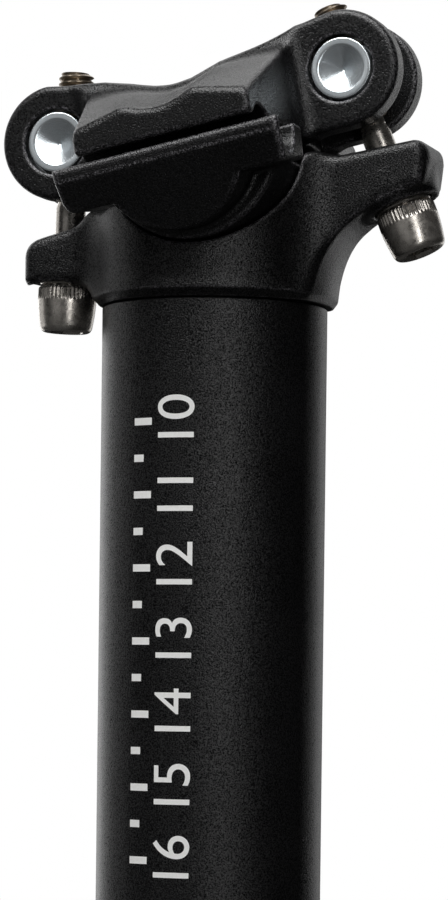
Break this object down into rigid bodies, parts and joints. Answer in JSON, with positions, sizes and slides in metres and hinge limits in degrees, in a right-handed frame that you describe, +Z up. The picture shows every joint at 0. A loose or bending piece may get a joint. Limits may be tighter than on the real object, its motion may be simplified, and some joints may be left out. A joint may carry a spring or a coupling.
{
  "type": "two-bolt bicycle seatpost",
  "caption": "Rigid bicycle seatpost with a forged head, a rocking saddle-rail cradle, an upper clamp, barrel nuts and clamp bolts.",
  "frame": {"origin": "centre of the tube's lower end", "axes": "+Z up along the post, +X to the rear of the bicycle, -Y to the bicycle's left side"},
  "size_m": [0.0626, 0.053, 0.3717],
  "materials": {
    "anodised_black": "bead-blasted, black anodised, satin",
    "forged_black": "forged, tumbled and black anodised, satin with bright worn edges",
    "zinc_steel": "turned and zinc plated, bright",
    "nickel_steel": "plain warm-grey steel, smooth, with a knurled head band"
  },
  "bodies": {
    "post": {"post_tube": "anodised_black", "post_head": "anodised_black"},
    "cradle": {"lower_cradle": "forged_black"},
    "upper": {"upper_clamp": "forged_black"},
    "front_nut": {"front_barrel_nut": "zinc_steel"},
    "rear_nut": {"rear_barrel_nut": "zinc_steel"},
    "front_washer": {"front_seat_washer": "nickel_steel"},
    "rear_washer": {"rear_seat_washer": "nickel_steel"},
    "front_bolt": {"front_clamp_bolt": "nickel_steel"},
    "rear_bolt": {"rear_clamp_bolt": "nickel_steel"}
  },
  "joints": [
    {"name": "clamp_tilt", "type": "hinge", "parent": "post", "child": "cradle", "pos_m": [0.0015, 0, 0.3505], "axis": [0, -1, 0], "range_deg": [-6, 6]},
    {"name": "jaw_open", "type": "slide", "parent": "cradle", "child": "upper", "axis": [-0.2011, 0, 0.9796], "range_m": [0, 0.0016]},
    {"name": "front_washer_swing", "type": "hinge", "parent": "post", "child": "front_washer", "pos_m": [-0.02217, 0, 0.33365], "axis": [0, -1, 0], "range_deg": [-1.2, 1.2]},
    {"name": "rear_washer_swing", "type": "hinge", "parent": "post", "child": "rear_washer", "pos_m": [0.0273, 0, 0.34307], "axis": [0, -1, 0], "range_deg": [-1.2, 1.2]},
    {"name": "front_bolt_turn", "type": "hinge", "parent": "front_washer", "child": "front_bolt", "pos_m": [-0.02217, 0, 0.33365], "axis": [-0.0332, 0, -0.9995], "range_deg": [0, 720]},
    {"name": "rear_bolt_turn", "type": "hinge", "parent": "rear_washer", "child": "rear_bolt", "pos_m": [0.0273, 0, 0.34307], "axis": [0.3714, 0, -0.9285], "range_deg": [0, 720]},
    {"name": "front_nut_swivel", "type": "hinge", "parent": "upper", "child": "front_nut", "pos_m": [-0.02152, 0, 0.35304], "axis": [0, -1, 0], "range_deg": [-6, 6]},
    {"name": "rear_nut_swivel", "type": "hinge", "parent": "upper", "child": "rear_nut", "pos_m": [0.01991, 0, 0.36155], "axis": [0, -1, 0], "range_deg": [-6, 6]}
  ],
  "couplings": [
    {"joint": "front_bolt_turn", "follows": "jaw_open", "rad_per_m": 7854},
    {"joint": "rear_bolt_turn", "follows": "jaw_open", "rad_per_m": 7854},
    {"joint": "front_washer_swing", "follows": "clamp_tilt", "ratio": 0.092},
    {"joint": "rear_washer_swing", "follows": "clamp_tilt", "ratio": 0.172},
    {"joint": "front_nut_swivel", "follows": "clamp_tilt", "ratio": -0.908},
    {"joint": "rear_nut_swivel", "follows": "clamp_tilt", "ratio": -0.828}
  ]
}
